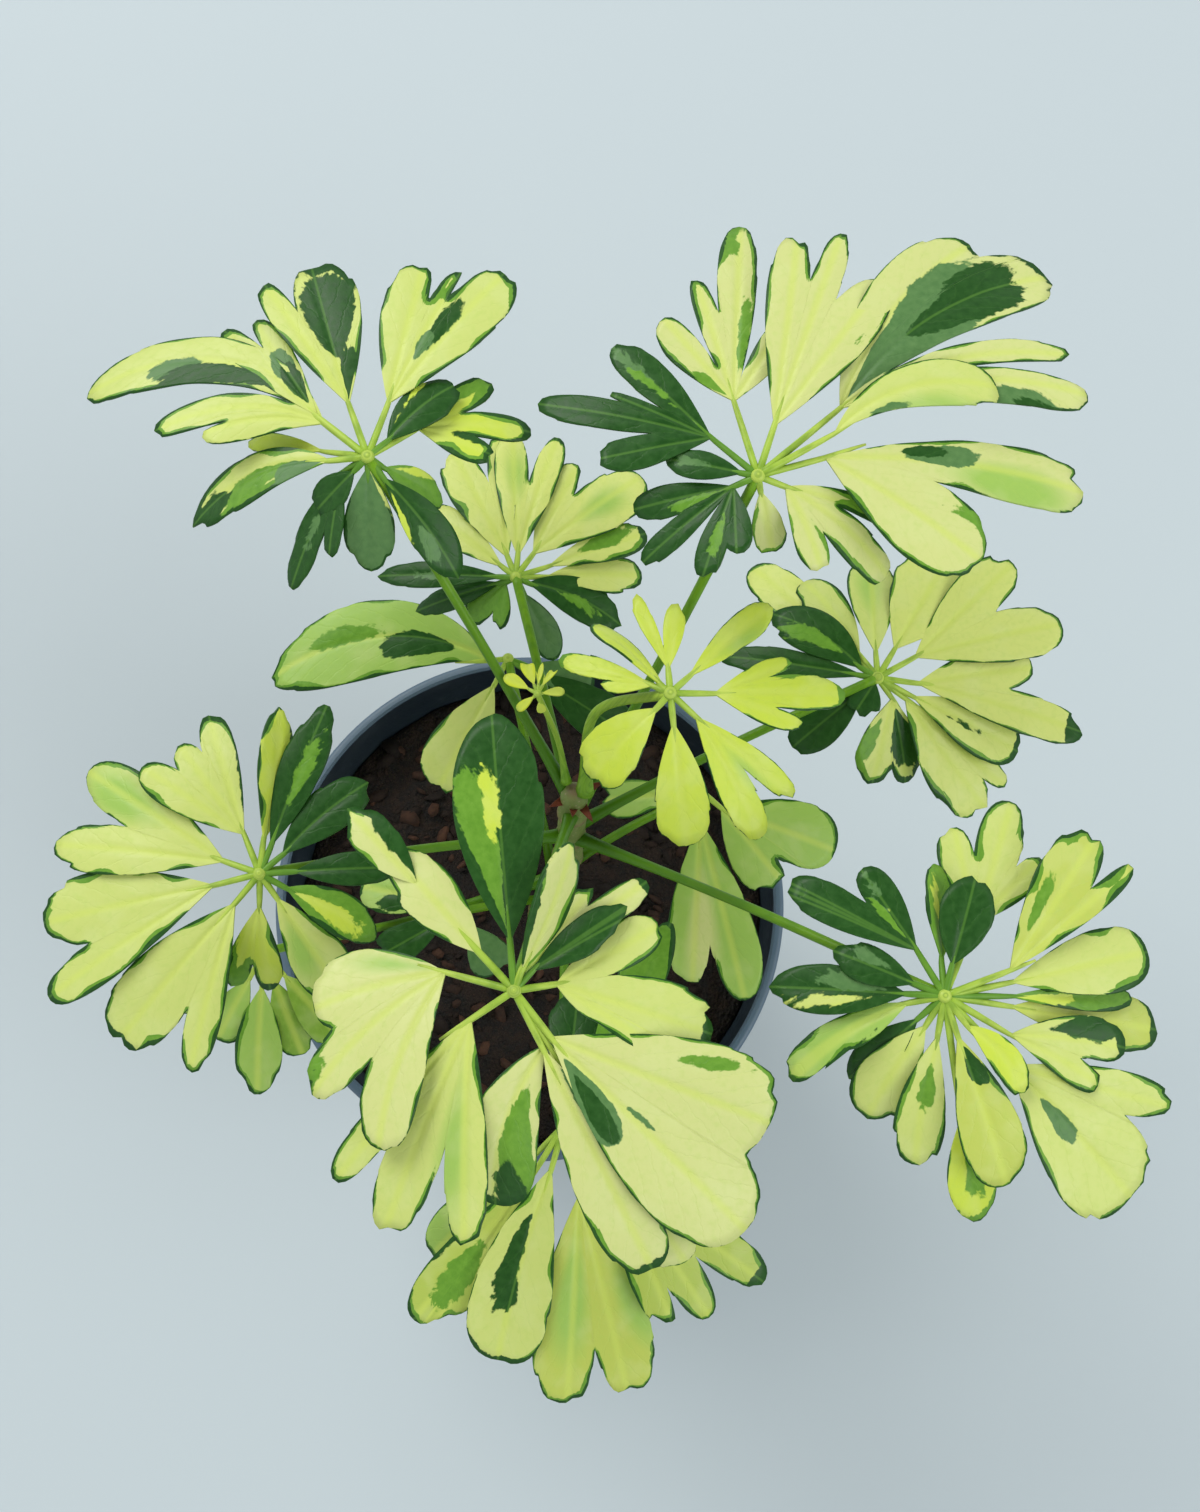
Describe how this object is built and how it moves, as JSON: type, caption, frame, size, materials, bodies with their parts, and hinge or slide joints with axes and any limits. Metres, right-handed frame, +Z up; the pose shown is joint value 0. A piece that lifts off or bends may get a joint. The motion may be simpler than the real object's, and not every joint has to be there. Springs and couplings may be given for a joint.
{
  "type": "potted dwarf umbrella tree",
  "caption": "Small dwarf umbrella tree with cut, cream-green variegated leaflets on long petioles, in a plain dark round grower's pot filled with soil.",
  "frame": {"origin": "middle of the pot's flat foot, where it stands", "axes": "+Z up the pot's axis, +X to the right and +Y to the top of the picture"},
  "size_m": [0.2279, 0.2349, 0.2478],
  "materials": {
    "pot": "satin",
    "soil": "rough",
    "stem": "satin",
    "leaf": "satin",
    "young_leaf": "satin"
  },
  "bodies": {
    "root": {"pot": "pot", "soil": "soil", "stem": "stem", "leaf_back_left": "leaf", "leaf_back_right": "leaf", "leaf_back_low": "leaf", "leaf_right_back": "leaf", "leaf_young": "young_leaf", "leaf_bud": "young_leaf", "leaf_right_front": "leaf", "leaf_front": "leaf", "leaf_left": "leaf", "leaf_front_low": "leaf", "leaf_left_low": "leaf", "leaf_back_left_low": "leaf", "leaf_right_low": "leaf", "leaf_middle_low": "leaf"}
  },
  "joints": []
}
